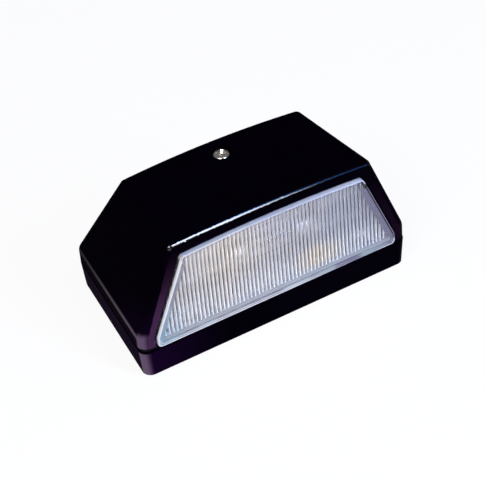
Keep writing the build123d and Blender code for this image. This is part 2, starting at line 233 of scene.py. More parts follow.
def softened(corners, steps=5):  # (across, along, rounding) to a rounded profile
    line = []
    for i, (across, along, rounding) in enumerate(corners):
        here = Vector((across, along))
        if not rounding:
            line.append(tuple(here))
            continue
        before = Vector(corners[i - 1][:2]) - here
        after = Vector(corners[i + 1][:2]) - here
        start = here + before.normalized() * min(rounding, before.length / 2)
        end = here + after.normalized() * min(rounding, after.length / 2)
        for k in range(steps + 1):
            t = k / steps
            line.append(tuple(start * (1 - t) ** 2 + here * 2 * t * (1 - t) + end * t * t))
    return line


def ringFaces(rows, steps):  # a row of faces between each ring of points and the next
    faces = []
    for low in range(0, (rows - 1) * steps, steps):
        for k in range(steps):
            after = (k + 1) % steps
            faces.append((low + k, low + after, low + steps + after, low + steps + k))
    return faces


def turnedMesh(profile, steps, axis="Z"):
    verts = []
    for radius, along in profile:
        for k in range(steps):
            angle = 2 * math.pi * k / steps
            spot = (radius * math.cos(angle), radius * math.sin(angle), along)
            verts.append(spot if axis == "Z" else (spot[2], spot[0], spot[1]))
    return verts, ringFaces(len(profile), steps)


def smoothMesh(mesh, sharp, turnFaces=True, flat=0.0):
    work = bmesh.new()
    work.from_mesh(mesh)
    bmesh.ops.remove_doubles(work, verts=work.verts, dist=2e-6)
    if flat:
        bmesh.ops.dissolve_limit(work, angle_limit=math.radians(flat), verts=work.verts, edges=work.edges)
    if turnFaces:
        bmesh.ops.recalc_face_normals(work, faces=work.faces)
    work.to_mesh(mesh)
    work.free()
    mesh.polygons.foreach_set("use_smooth", [True] * len(mesh.polygons))
    mesh.set_sharp_from_angle(angle=math.radians(sharp))


def keepValues(mesh, name, domain, values):
    mesh.attributes.new(name, "FLOAT", domain).data.foreach_set("value", values)


def isSoft(edge, limit):  # an open edge counts as sharp
    return edge.calc_face_angle(math.pi) < math.radians(limit)


def flatAreas(work, flat):  # for each face, the area of the flat that it belongs to
    owner = list(range(len(work.faces)))

    def region(i):
        while owner[i] != i:
            owner[i] = owner[owner[i]]
            i = owner[i]
        return i

    for edge in work.edges:
        if isSoft(edge, flat):
            owner[region(edge.link_faces[0].index)] = region(edge.link_faces[1].index)
    area = [0.0] * len(owner)
    for face in work.faces:
        area[region(face.index)] += face.calc_area()
    return [area[region(i)] for i in range(len(owner))]


def cornerFans(vert, sharp):  # the faces round a corner, in groups that sharp edges part
    fans = []
    left = set(vert.link_faces)
    while left:
        fan = [left.pop()]
        for face in fan:  # grows while it is walked
            for edge in vert.link_edges:
                if edge in face.edges and isSoft(edge, sharp):
                    joined = [other for other in edge.link_faces if other in left]
                    left.difference_update(joined)
                    fan += joined
        fans.append(fan)
    return fans


def evenNormals(mesh, sharp, flat=1.2, small=8e-5, sideShare=0.55):  # flats stay flat up to their edges
    work = bmesh.new()
    work.from_mesh(mesh)
    work.faces.ensure_lookup_table()
    areas = flatAreas(work, flat)
    found = {}
    for vert in work.verts:
        for fan in cornerFans(vert, sharp):
            total = Vector()
            for face in fan:
                corner = next(loop for loop in face.loops if loop.vert == vert)
                total += face.normal * corner.calc_angle() * areas[face.index]
            for face in fan:
                found[face.index, vert.index] = total.normalized()
    work.free()
    normals = [found[face.index, i] for face in mesh.polygons for i in face.vertices]
    keepValues(mesh, "edgePolish", "FACE", [float(area < small) for area in areas])
    keepValues(mesh, "frontward", "CORNER", [max(-normal.y, 0.0) for normal in normals])
    keepValues(mesh, "rearward", "CORNER", [max(normal.y, sideShare * normal.x, 0.0) for normal in normals])
    mesh.normals_split_custom_set(normals)


def addObject(name, data):
    made = bpy.data.objects.new(name, data)
    scene.collection.objects.link(made)
    return made


def newPiece(name, verts, faces, finish, at, sharp=35):
    mesh = bpy.data.meshes.new(name)
    moved = [tuple((v[i] + at[i]) * mm for i in range(3)) for v in verts]
    mesh.from_pydata(moved, [], faces)
    smoothMesh(mesh, sharp)
    mesh.materials.append(finishes[finish])
    return addObject(name, mesh)


def keepModifiers(piece):  # the modifiers' result becomes the mesh
    graph = bpy.context.evaluated_depsgraph_get()
    made = bpy.data.meshes.new_from_object(piece.evaluated_get(graph))
    made.name = piece.name
    piece.modifiers.clear()
    piece.data = made


def settle(piece, slot, *stands):
    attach(piece, "root")
    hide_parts(*stands)


def dressed(name, node, finish, slot, sharp=28, bevel=0.0):  # a smooth copy of a solid
    mesh = nodes[node].data.copy()
    mesh.name = name
    smoothMesh(mesh, sharp, turnFaces=False, flat=0.4 if bevel else 0.0)
    mesh.materials.clear()
    mesh.materials.append(finishes[finish])
    piece = addObject(name, mesh)
    if bevel:
        edge = piece.modifiers.new("edge", "BEVEL")
        edge.width = bevel * mm
        edge.segments = 2
        edge.limit_method = "ANGLE"
        edge.angle_limit = math.radians(40)
        keepModifiers(piece)
    evenNormals(piece.data, sharp)
    settle(piece, slot, node)


def carve(piece, cutters):
    for cutter in cutters:
        cut = piece.modifiers.new("cut", "BOOLEAN")
        cut.operation = "DIFFERENCE"
        cut.solver = "EXACT"
        cut.object = cutter
    keepModifiers(piece)
    for cutter in cutters:
        bpy.data.objects.remove(cutter)
    smoothMesh(piece.data, 35)


def absorb(piece, other):  # the other's mesh becomes part of the piece
    work = bmesh.new()
    work.from_mesh(piece.data)
    work.from_mesh(other.data)
    work.to_mesh(piece.data)
    work.free()
    bpy.data.objects.remove(other)


def newTree(name, floats, vectors=()):  # a finish is given to every tree
    tree = bpy.data.node_groups.new(name, "GeometryNodeTree")
    for way in ("OUTPUT", "INPUT"):
        tree.interface.new_socket("Geometry", in_out=way, socket_type="NodeSocketGeometry")
    inputs = [(label, "Float") for label in floats] + [(label, "Vector") for label in vectors]
    for label, kind in inputs + [("finish", "Material")]:
        tree.interface.new_socket(label, in_out="INPUT", socket_type="NodeSocket" + kind)
    wire = Wire(tree)
    entry = wire.node("NodeGroupInput").socket.node
    given = {socket.name: Wire(tree, socket) for socket in entry.outputs if socket.name}
    return tree, wire, given


def closeTree(wire, shape, finish):
    whole = wire.node("GeometryNodeRealizeInstances", sockets={"Geometry": shape})
    painted = wire.node("GeometryNodeSetMaterial", sockets={"Geometry": whole, "Material": finish})
    wire.node("NodeGroupOutput", sockets={"Geometry": painted})


def runTree(piece, tree, values):
    work = piece.modifiers.new(tree.name, "NODES")
    work.node_group = tree
    for socket in tree.interface.items_tree:
        if socket.in_out == "INPUT" and socket.name in values:
            work[socket.identifier] = values[socket.name]
    keepModifiers(piece)


# Camera

cameraSpec = {
    "eye": (-0.223300, -0.412826, 0.372241),
    "right": (0.84858, -0.52489, -0.06640),
    "up": (0.36433, 0.48874, 0.79272),
    "back": (-0.38363, -0.69687, 0.60597),
    "sensor": 36,
    "focalPixels": 1610,
    "widthPixels": 485,
    "nearest": 0.01,
}


def addCamera():
    spec = cameraSpec
    data = bpy.data.cameras.new("photoCamera")
    data.sensor_fit = "HORIZONTAL"
    data.sensor_width = spec["sensor"]
    data.lens = spec["sensor"] * spec["focalPixels"] / spec["widthPixels"]
    data.clip_start = spec["nearest"]
    camera = addObject("photoCamera", data)
    turn = Matrix((spec["right"], spec["up"], spec["back"])).transposed()
    camera.matrix_world = Matrix.Translation(spec["eye"]) @ turn.to_4x4()
    scene.camera = camera


addCamera()
print("camera set")

# Housing: base tray and hipped cover

housingFinish = {
    "deep": (0.0004, 0.0002, 0.0008, 1),
    "pale": (0.0014, 0.0006, 0.0026, 1),
    "paintedFloorReflection": (0.0085, 0.0016, 0.0160, 1),  # painted reflection of the lit floor, stronger on the base's left end than on the cover
    "paintedRearSheen": (0.016, 0.0145, 0.019, 1),  # painted sheen, lighter on the back and right sides
    # painted reflection of the floor along the eave and the strip beside the lens
    "paintedReflectionTone": (0.040, 0.0145, 0.039, 1),
    # painted highlight on the upright corners, on the left
    "paintedCornerHighlight": (0.056, 0.016, 0.066, 1),
    "patchScale": 70, "grainScale": 2600, "speckScale": 900, "grain": 0.05,
    "gloss": 0.36, "glossSpread": 0.16, "shine": 0.0003,
    "tint": (0.70, 0.36, 1.0, 1),
    "corners": 0.42,  # coat on the upright corners, glossier than the flats; the same corners carry a painted highlight in their colour
    "eaveLine": 0.22,
    "crest": 0.7,
    "coatGloss": 0.07,
    "coatIndex": 2.0,
    "hoodFloorReflection": 0.5,  # share of the base's painted floor reflection on the cover
    "leftLeast": 0.12,  # what is left of a mark where it is faintest
    "eaveLeast": 0.25,
    "crestLeast": 0.15,
    "fleckLeast": 0.2,
    "bend": 5.2,  # how soon a turned edge counts as a corner
    "eaves": 17.0,  # height where the hips start
    # limits in millimetres, or as shares of the way round to the front or back
    "trayFrom": (-0.4, -1.2), "hoodFrom": (0.9, 1.6),  # over the parting
    "cornerLow": (2.2, -0.2), "eaveHeight": (-1.4, -0.4, 0.2, 1.0),  # over the eaves
    "leftFrom": (10, -36), "cornerReach": (46.5, 50.0),
    "eaveLeft": (-43, -46), "eaveFront": (30, -26), "eaveEnd": (-29.0, -26.8),
    "crestHeight": (48.6, 49.3), "crestDepth": (-22, -28), "crestReach": (41.2, 40.2),
    "crestLeft": (36, -34), "crestTurn": (0.44, 0.57, 0.87, 0.95),
    "stripTurn": (0.94, 0.992), "stripHeight": (50, 16),
    "floorReflectionLeft": (-20, -59), "floorReflectionHeight": (32, 17), "floorReflectionDepth": (0, -30), "rearSheenTurn": (0.30, 0.65),
    "fleckFrom": (0.35, 0.65),  # on the grain
}


def housingMarks(place):  # where the painted reflections, highlights and sheen and the gloss coat lie, from 0 to 1
    spec = housingFinish
    across, depth, height = place.parts()
    edges = place.stored("edgePolish")
    ahead = place.stored("frontward")
    reach = across.maths("ABSOLUTE")
    # painted marks are strongest on the left, where the lit floor is reflected
    left = atLeast(spec["leftLeast"], across.ramp(spec["leftFrom"]))
    tray = height.ramp(spec["trayFrom"], parting)
    hood = height.ramp(spec["hoodFrom"], parting)
    low = height.ramp(spec["cornerLow"], spec["eaves"])
    bend = (spec["bend"] * ahead * (1 - ahead)).capped()  # strongest halfway round an upright corner
    # upright corners on the left: gloss coat, and a painted highlight in their colour
    corners = edges * reach.ramp(spec["cornerReach"]) * bend * (tray + hood * low) * left
    # the left eave: gloss coat, and a painted reflection in its colour
    eave = edges * height.band(spec["eaveHeight"], spec["eaves"]) * across.ramp(spec["eaveLeft"])
    eave = eave * atLeast(spec["eaveLeast"], depth.ramp(spec["eaveFront"])) * depth.ramp(spec["eaveEnd"])
    crest = edges * height.ramp(spec["crestHeight"]) * depth.ramp(spec["crestDepth"])
    crest = crest * reach.ramp(spec["crestReach"]) * ahead.band(spec["crestTurn"])
    crest = crest * atLeast(spec["crestLeast"], across.ramp(spec["crestLeft"]))
    # painted reflection on the frame beside the lens, low down on the left
    strip = ahead.ramp(spec["stripTurn"]) * height.ramp(spec["stripHeight"]) * hood * left
    # painted floor reflection, low down at the front left of the cover and on the base's left
    paintedFloorReflection = hood * height.ramp(spec["floorReflectionHeight"]) * depth.ramp(spec["floorReflectionDepth"]) * left
    paintedFloorReflection = spec["hoodFloorReflection"] * paintedFloorReflection + tray * across.ramp(spec["floorReflectionLeft"])
    # painted sheen on faces turned to the back and right
    rearSheen = place.stored("rearward").ramp(spec["rearSheenTurn"])
    return SimpleNamespace(corners=corners, eave=eave, crest=crest, strip=strip, paintedFloorReflection=paintedFloorReflection, rearSheen=rearSheen)


def mouldedBlack():
    spec = housingFinish
    made, place = startFinish("mouldedBlack")
    patches = place.cloud(spec["patchScale"], 3)
    grain = place.cloud(spec["grainScale"], 2)
    specks = place.node("ShaderNodeTexVoronoi", sockets={"Vector": place, "Scale": spec["speckScale"]})
    flecks = atLeast(spec["fleckLeast"], grain.ramp(spec["fleckFrom"]))
    unevenness = 0.5 + patches
    mark = housingMarks(place)
    tone = (patches * 0.8 + grain * 0.2).blend(spec["deep"], spec["pale"])
    # painted floor reflection, flecked by the grain
    tone = (flecks * mark.paintedFloorReflection).blend(tone, spec["paintedFloorReflection"])
    # painted sheen on the back and right sides
    tone = mark.rearSheen.blend(tone, spec["paintedRearSheen"])
    # painted reflection along the eave and the strip, patchy
    tone = ((mark.strip | mark.eave) * unevenness).capped().blend(tone, spec["paintedReflectionTone"])
    # painted highlight on the upright corners
    tone = (mark.corners * unevenness).capped().blend(tone, spec["paintedCornerHighlight"])
    coat = mark.corners * spec["corners"] + mark.eave * spec["eaveLine"] + mark.crest * spec["crest"]
    closeFinish(place, {
        "Base Color": tone,
        "Roughness": spec["gloss"] + spec["glossSpread"] * patches,
        "Specular IOR Level": spec["shine"],
        "Specular Tint": spec["tint"],
        "Coat Weight": coat,
        "Coat Roughness": spec["coatGloss"],
        "Coat IOR": spec["coatIndex"],
        "Normal": (grain * 0.7 + specks * 0.3).relief(spec["grain"], 0.0003),
    })
    return made


finishes["housing"] = mouldedBlack()
dressed("baseTray", "base_housing", "housing", "housing_black")
dressed("hippedCover", "cover", "housing", "housing_black")
print("housing dressed")

# Lens: one closed moulding whose inner face is drawn out into upright ribs

lensSpec = {
    "lean": 0.9,
    "halfFoot": 49.55,
    "halfHead": 36.836,
    "crease": 5.2,  # heights are over the parting
    "head": 34.24,
    "arch": 1.2,
    "foot": 0.9,
    "corner": 1.4,
    "leastCorner": 0.4,
    "cornerReach": 1.36,  # how far a head corner's rounding reaches, in corner radii
    "proud": 1.1,
    "plate": 2.4,
    "wall": 1.2,
    "edge": 0.4,
    "flange": 1.8,
    "flangeFront": 2.0,
    "back": 3.4,
    "rim": 1.1,
    "ribMargin": 2.8,
    "headMargin": 1.8,  # the ribs run closer to the head
    "ribLand": 0.05,
    "ribPitch": 1.574,
    "ribHeight": 0.45,
    "ribSteps": 8,
    "endSteps": (0.13, 0.06, 0.02, 0),  # finer steps round the foot's corners
    "endClear": 0.15,
}

lensFinish = {
    "clearLeft": (0.97, 0.93, 0.915, 1),
    "clearRight": (0.915, 0.945, 1.0, 1),
    # painted cyan glint, low on the lens's left
    "clearCool": (0.86, 0.95, 1.0, 1),
    "clearWarm": (1.0, 0.92, 0.80, 1),  # light off the brass shows through in places
    "hazed": (0.91, 0.885, 0.925, 1),
    "hazeScale": 45, "gloss": 0.02, "glossSpread": 0.05, "index": 1.49,
    "cloudyGloss": 0.3, "cloudyShine": 0.1,
    "milkLeft": (0.17, 0.16, 0.18, 1),
    "milkRight": (0.15, 0.135, 0.19, 1),
    # milkCool is a painted cyan glint, milkGlow a painted glow at the foot
    "milkCool": (0.17, 0.26, 0.31, 1),
    "milkGlow": (0.25, 0.29, 0.31, 1),
    "tail": (0.27, 0.285, 0.30, 1),
    "valleyShade": (0.25, 0.24, 0.29, 1),  # painted shade between the ribs
    "lineLeft": (0.78, 0.73, 0.67, 1),  # painted highlights along the ribs' crests
    "lineRight": (0.39, 0.41, 0.49, 1),
    "lineLow": (0.76, 0.79, 0.81, 1),
    "lineWarm": (0.94, 0.82, 0.62, 1),
    # painted cyan glint on the crest lines
    "lineCool": (0.50, 0.68, 0.78, 1),
    # painted reflection on the lens's head, and a painted highlight line along its front edge
    "headLeft": (0.27, 0.31, 0.42, 1),
    "headRight": (0.42, 0.45, 0.54, 1),
    "headLine": (0.42, 0.42, 0.44, 1),
    "edge": (0.62, 0.62, 0.62, 1),  # light run along inside the plate leaves at its left edge and foot
    # painted shadow in the gaps round the lens
    "gap": (0.002, 0.0015, 0.003, 1),
    "hazeShare": 0.5, "coolShare": 0.8, "headShadowShare": 0.6, "footLineShare": 0.6, "milkShare": 0.75,
    "edgeShare": 0.8, "gapShadowShare": 0.9, "valleyShadeShare": 0.5, "tailShare": 0.8,
    "lineShare": 0.64, "lineLowShare": 0.12,
    "warmSpots": [(16.5, 20.5, 13.0, 6.2, 0.75), (-18.0, 36.5, 20.0, 12.0, 0.5)],
    "sliverStretch": (260, 260, 90),
    "glowStretch": (70, 20, 20),
    # limits across, in millimetres
    "clearFrom": (-12, 40), "milkFrom": (-30, 40), "lineFrom": (-30, 25), "headFrom": (-20, 36),
    "ridgeFrom": (20, -20), "leftFrom": (-20, -34), "rightFrom": (34, 38), "litFrom": (34, 0),
    "litCorner": (40, 44), "coolFrom": (-34, -46), "headStart": (-37.8, -36.2),
    "footStart": (-49.5, -48.0),
    # in height, one line over the foot and one over the head
    "lowFrom": (3.2, 2.2), "tailFrom": (5.8, 3.4), "coolHeight": (20, 3), "paleHeight": (18.9, 3.9),
    "topHeight": (-2.64, -1.64), "upperFrom": (-4.44, -3.24),
    # in depth, and forwards of the cover's face
    "ridgeDepth": (-31.3, -31.6), "seamShadowProud": (0.34, 0.20),
    # across the border, from the ribs to the edge
    "milkBorder": (0.12, 0.32), "footLine": (0.37, 0.47, 0.53, 0.63), "seamShadowBorder": (0.52, 0.75),
    "headShadowBorder": (0.60, 0.68, 0.78, 0.86), "gapShadowBorder": (0.62, 0.70, 0.90, 0.97),
    "leftEdge": (0.68, 0.86), "footEdge": (0.74, 0.92), "lipBorder": (0.82, 0.95),
    # from a rib's crest, in pitches
    "lineWidth": (0.20, 0.08), "valleyShadeWidth": (0.32, 0.44),
    # on the clouds, and on the values kept for the faces
    "sliverFrom": (0.62, 0.52), "glowFrom": (0.56, 0.70), "faceFrom": (0.8, 1.0),
}


def lensMarks(place):  # where each mark on the lens lies, from 0 to 1
    spec = lensFinish
    foot = parting + lensSpec["foot"]
    head = parting + lensSpec["head"]
    across, depth, height = place.parts()
    border = place.stored("border")
    ribbed = place.stored("ribFace").ramp(spec["faceFrom"])
    backing = place.stored("backFace").ramp(spec["faceFrom"])
    lip = border.ramp(spec["lipBorder"])
    low = height.ramp(spec["lowFrom"], foot)
    upper = height.ramp(spec["upperFrom"], head)
    top = height.ramp(spec["topHeight"], head) * across.ramp(spec["headStart"])
    left = across.ramp(spec["leftFrom"]) * (1 - top) * (1 - low * across.ramp(spec["footStart"]))
    right = across.ramp(spec["rightFrom"]) * (1 - top) * (1 - low)
    lit = across.ramp(spec["litFrom"]) | lip * across.ramp(spec["litCorner"])
    line = spec["footLineShare"] * border.band(spec["footLine"])
    bright = low * (border.ramp(spec["footEdge"]) | line) * lit
    slivers = place.stretched(spec["sliverStretch"]).cloud(1, 2).ramp(spec["sliverFrom"])
    # painted shadows: in the gap at the right end, along the back of the head and beside the proud wall on
    # the left
    gap = right * border.band(spec["gapShadowBorder"]) * slivers
    headShadow = spec["headShadowShare"] * top * border.band(spec["headShadowBorder"])
    proud = (height - parting) * math.sin(math.radians(lensSpec["lean"])) + frontY - depth
    seamShadow = left * border.ramp(spec["seamShadowBorder"]) * proud.ramp(spec["seamShadowProud"])
    offCrest = ((across / lensSpec["ribPitch"] + 0.5).maths("FRACT") - 0.5).maths("ABSOLUTE")
    # painted glow low at the foot, in patches
    glow = place.stretched(spec["glowStretch"]).cloud(1, 1).ramp(spec["glowFrom"])
    # painted cyan glint, low on the left
    cool = across.ramp(spec["coolFrom"]) * height.ramp(spec["coolHeight"], foot)
    warm = 0.0
    for x, z, wide, tall, amount in spec["warmSpots"]:
        warm = amount * oval(across - x, height - z, wide, tall) + warm
    return SimpleNamespace(
        across=across,
        # painted highlight: the crest lines lighter low down
        pale=height.ramp(spec["paleHeight"], foot),
        cool=cool,
        coolLine=spec["coolShare"] * cool,
        warm=warm,
        glow=glow * low,
        back=backing * (1 - right),
        milk=border.ramp(spec["milkBorder"]) * (1 - upper),
        tail=backing * height.ramp(spec["tailFrom"], foot) | backing * (1 - ribbed) * right,
        # painted highlights along the ribs' crests
        lines=offCrest.ramp(spec["lineWidth"]) * (ribbed | backing * upper),
        valleyShade=offCrest.ramp(spec["valleyShadeWidth"]) * ribbed,
        # painted reflection on the head's rim, and a painted highlight line at its front
        crown=top * lip,
        ridge=top * lip * depth.ramp(spec["ridgeDepth"]) * across.ramp(spec["ridgeFrom"]),
        bright=left * border.ramp(spec["leftEdge"]) | bright,
        gap=gap | headShadow | seamShadow,
    )


def acrossTone(mark, name):  # from the left's to the right's
    spec = lensFinish
    return mark.across.ramp(spec[name + "From"]).blend(spec[name + "Left"], spec[name + "Right"])


def layered(mark, tone, layers):  # each colour goes where its mark lies
    for name, colour in layers.items():
        tone = getattr(mark, name).blend(tone, lensFinish[colour])
    return tone


def lensTone(mark):
    tone = acrossTone(mark, "milk")
    tone = layered(mark, tone, {"cool": "milkCool", "glow": "milkGlow", "back": "tail", "valleyShade": "valleyShade"})
    crestHighlight = acrossTone(mark, "line")
    crestHighlight = layered(mark, crestHighlight, {"pale": "lineLow", "warm": "lineWarm", "coolLine": "lineCool"})
    tone = mark.lines.blend(tone, crestHighlight)
    tone = mark.crown.blend(tone, acrossTone(mark, "head"))
    return layered(mark, tone, {"ridge": "headLine", "bright": "edge", "gap": "gap"})


def lensShare(mark):  # how far the marks hide the clear plastic
    spec = lensFinish
    share = mark.milk * spec["milkShare"] | (mark.bright | mark.crown) * spec["edgeShare"]
    share = share | mark.gap * spec["gapShadowShare"] | mark.valleyShade * spec["valleyShadeShare"]
    share = share | mark.lines * (spec["lineShare"] + spec["lineLowShare"] * mark.pale)
    return share | mark.tail * spec["tailShare"] * (1 - mark.lines)


def clearLensPlastic():
    spec = lensFinish
    made, place = startFinish("clearLensPlastic")
    haze = place.cloud(spec["hazeScale"], 4)
    mark = lensMarks(place)
    body = layered(mark, acrossTone(mark, "clear"), {"warm": "clearWarm", "cool": "clearCool"})
    clear = place.node("ShaderNodeBsdfPrincipled", sockets={
        "Base Color": (spec["hazeShare"] * haze).blend(body, spec["hazed"]),
        "Roughness": spec["gloss"] + spec["glossSpread"] * haze,
        "IOR": spec["index"],
        "Transmission Weight": 1.0,
    })
    cloudy = place.node("ShaderNodeBsdfPrincipled", sockets={
        "Base Color": lensTone(mark),
        "Roughness": spec["cloudyGloss"],
        "Specular IOR Level": spec["cloudyShine"],
    })
    closeMixed(place, lensShare(mark), clear, cloudy)
    return made


def lensColumns():
    spec = lensSpec
    half = spec["halfFoot"] - spec["ribMargin"]
    step = spec["ribPitch"] / spec["ribSteps"]
    count = int(half / step)
    inner = [k * step for k in range(-count, count + 1)]
    inner = [x for x in inner if abs(x) < half - spec["endClear"]]
    ends = [half - cut for cut in spec["endSteps"]]
    return [x / half for x in [-end for end in reversed(ends)] + inner + ends]


def lensLoop(columns, inset):  # once round: foot from left to right, then back along the head
    spec = lensSpec
    slope = (spec["halfFoot"] - spec["halfHead"]) / (spec["head"] - spec["crease"])
    side = inset * math.sqrt(1 + slope**2)
    half = spec["halfFoot"] - inset
    headHalf = spec["halfHead"] + slope * inset - side
    turn = spec["crease"] + (inset - side) / slope
    reach = spec["cornerReach"] * max(spec["corner"] - inset, spec["leastCorner"])
    up = max(inset, 0)  # the flange ends at the window's foot
    footHalf = spec["halfFoot"] - up
    rounding = max(spec["corner"] - up, spec["leastCorner"])
    foot = []
    head = []
    for t in columns:
        x = half * t
        arch = spec["head"] - min(inset, spec["headMargin"]) + spec["arch"] * (1 - (x / headHalf) ** 2)
        slant = turn + (half - abs(x)) / slope
        near = max(reach - abs(arch - slant), 0) / reach
        head.append((x, min(arch, slant) - near * near * reach / 4))
        x = footHalf * t
        out = max(rounding - footHalf + abs(x), 0)
        foot.append((x, spec["foot"] + up + rounding - math.sqrt(max(rounding**2 - out**2, 0))))
    return foot + head[::-1]


def lensMesh(lean):
    spec = lensSpec
    columns = lensColumns()
    edge = spec["edge"]
    front = spec["proud"]
    inner = front - spec["plate"]
    rows = [  # inset and forward, then ribFace, border and backFace
        (spec["ribMargin"], inner - spec["ribLand"], 1.0, 0.0, 1.0),
        (spec["ribMargin"], inner, 0.0, 0.0, 1.0),
        (spec["wall"], inner, 0.0, 0.0, 1.0),
        (spec["wall"], -spec["back"], 0.0, 0.0, 0.0),
        (-spec["flange"], -spec["back"], 0.0, 0.0, 0.0),
        (-spec["flange"], -spec["flangeFront"], 0.0, 0.0, 0.0),
        (0.0, -spec["flangeFront"], 0.0, 1.0, 0.0),
        (0.0, front - edge, 0.0, 1.0, 0.0),
        (edge * 0.13, front - edge * 0.5, 0.0, 1.0, 0.0),
        (edge * 0.5, front - edge * 0.13, 0.0, 1.0, 0.0),
        (edge, front, 0.0, 1.0, 0.0),
        (spec["rim"], front, 0.0, 0.5, 0.0),
        (spec["ribMargin"], front, 0.0, 0.1, 0.0),
    ]
    verts = []
    marks = []
    for inset, out, *values in rows:
        for x, up in lensLoop(columns, inset):
            y = frontY + up * math.sin(lean) - out * math.cos(lean)
            z = parting + up * math.cos(lean) + out * math.sin(lean)
            verts.append((x * mm, y * mm, z * mm))
            marks.append(values)
    size = 2 * len(columns)
    faces = ringFaces(len(rows), size)
    for start in (0, (len(rows) - 1) * size):  # ribbed face and front face
        for k in range(len(columns) - 1):
            faces.append((start + k, start + k + 1, start + size - 2 - k, start + size - 1 - k))
    mesh = bpy.data.meshes.new("ribbedLens")
    mesh.from_pydata(verts, [], faces)
    for name, values in zip(("ribFace", "border", "backFace"), zip(*marks)):
        keepValues(mesh, name, "POINT", values)
    return mesh


def ribTree():
    tree, wire, given = newTree("lensRibs", ["rib pitch", "rib height", "lean"])
    spot = wire.node("GeometryNodeInputPosition")
    across = wire.node("ShaderNodeSeparateXYZ", sockets={"Vector": spot}, out="X")
    share = (across / given["rib pitch"] + 0.5).maths("FRACT") - 0.5
    out = share * given["rib pitch"]
    height = given["rib height"]
    half = given["rib pitch"] * 0.5
    radius = (half * half + height * height) / (2 * height)
    rise = (radius * radius - out * out).maths("SQRT") - radius + height
    mask = wire.node("GeometryNodeInputNamedAttribute", {"data_type": "FLOAT"}, {"Name": "ribFace"})
    rise = rise * mask
    move = wire.node("ShaderNodeCombineXYZ", sockets={
        "Y": rise * given["lean"].maths("COSINE"),
        "Z": rise * -1 * given["lean"].maths("SINE"),
    })
    shape = wire.node("GeometryNodeSetPosition", sockets={"Geometry": given["Geometry"], "Offset": move})
    closeTree(wire, shape, given["finish"])
    return tree


def makeLens():
    spec = lensSpec
    lean = math.radians(spec["lean"])
    lens = addObject("ribbedLens", lensMesh(lean))
    runTree(lens, ribTree(), {
        "rib pitch": spec["ribPitch"] * mm,
        "rib height": spec["ribHeight"] * mm,
        "lean": lean,
        "finish": finishes["lens"],
    })
    smoothMesh(lens.data, 30)
    lens.visible_shadow = False  # light goes on through to the bulb
    settle(lens, "lens_clear", "lens")


finishes["lens"] = clearLensPlastic()
makeLens()
print("lens ribbed")

# Cover screw with a domed head and a cross recess

screwSpec = {
    "seat": 51.353,
    "radius": 3.25,
    "height": 2.2,
    "dome": 0.74,  # share of the radius
    "domeDrop": 0.62,
    "shank": 1.75,
    "length": 16.0,
    "thread": 0.28,
    "threadPitch": 0.8,
    "wing": (2.2, 0.55, 1.5),  # half length, half width and depth
    "pit": (1.0, 1.0, 1.7),
    "turn": 0.9,
}


def threadedShank(radius, length, thread, pitch, steps=20, tip=1.5, tipShare=0.55):
    verts = []
    rows = int(length / pitch * 6)
    for row in range(rows + 1):
        down = length * row / rows
        taper = min(1.0, (length - down) / tip + tipShare)
        for k in range(steps):
            turn = (down / pitch + k / steps) % 1
            r = (radius - thread * abs(2 * turn - 1)) * taper
            angle = 2 * math.pi * k / steps
            verts.append((r * math.cos(angle), r * math.sin(angle), -down))
    faces = ringFaces(rows + 1, steps)
    faces.append(tuple(range(steps)))
    faces.append(tuple(reversed(range(rows * steps, (rows + 1) * steps))))
    return verts, faces


def wedge(name, size, top, turn, at):  # cutter for a recess, narrower towards its bottom
    length, width, deep = size
    verts = []
    for level, share in ((top + 1, 1.25), (top - deep, 0.55)):
        for sx, sy in ((-1, -1), (1, -1), (1, 1), (-1, 1)):
            spot = Vector((sx * length * share, sy * width * (0.75 + 0.25 * share), level))
            verts.append(tuple(Matrix.Rotation(turn, 3, "Z") @ spot))
    faces = [(3, 2, 1, 0), (4, 5, 6, 7)]
    faces += [(k, (k + 1) % 4, 4 + (k + 1) % 4, 4 + k) for k in range(4)]
    return newPiece(name, verts, faces, "nickel", at)


def domedHead():
    spec = screwSpec
    radius = spec["radius"]
    height = spec["height"]
    profile = [(0, height)]
    for k in range(1, 9):
        share = k / 8 * spec["dome"]
        profile.append((radius * share, height - spec["domeDrop"] * share * share))
    profile += softened([
        (radius * spec["dome"], height - 0.34, 0),
        (radius * 0.97, height * 0.66, 0.5),
        (radius, 0.5, 0.3),
        (radius * 0.985, 0, 0.1),
        (spec["shank"] * 0.6, 0, 0),
    ])[1:]
    return profile + [(0, 0)]


def makeCoverScrew():
    spec = screwSpec
    turn = spec["turn"]
    at = (0, screwY, spec["seat"])
    head = newPiece("coverScrew", *turnedMesh(domedHead(), 96), "nickel", at)
    carve(head, [
        wedge("wing0", spec["wing"], spec["height"], turn, at),
        wedge("wing1", spec["wing"], spec["height"], turn + math.pi / 2, at),
        wedge("pit", spec["pit"], spec["height"], turn + math.pi / 4, at),
    ])
    shank = threadedShank(spec["shank"], spec["length"], spec["thread"], spec["threadPitch"])
    absorb(head, newPiece("shank", *shank, "nickel", at))
    settle(head, "screw_nickel", "cover_screw")


makeCoverScrew()
print("cover screw cut")

# Pairs of small fasteners, one each side of the bulb

pairSpec = {
    "rivetX": 21.785,
    "terminalX": 27.785,
    "reflectorX": 38.0,
    "rivetRadius": 1.5,
    "rivetHead": 2.6,
    "rivetBrim": 0.9,
    "rivetLow": 0.6,
    "rivetHigh": 7.5,
    "screwHead": 2.8,
    "screwHeight": 1.9,
    "screwShank": 1.5,
    "slotWidth": 0.42,
    "slotDepth": 0.9,
    "slotTurn": 0.7,
    "thread": 0.2,
    "threadPitch": 0.6,
    "terminalSeat": 8.3,
    "terminalLength": 5.3,
    "reflectorSeat": 13.2,
    "reflectorLength": 7.0,
}


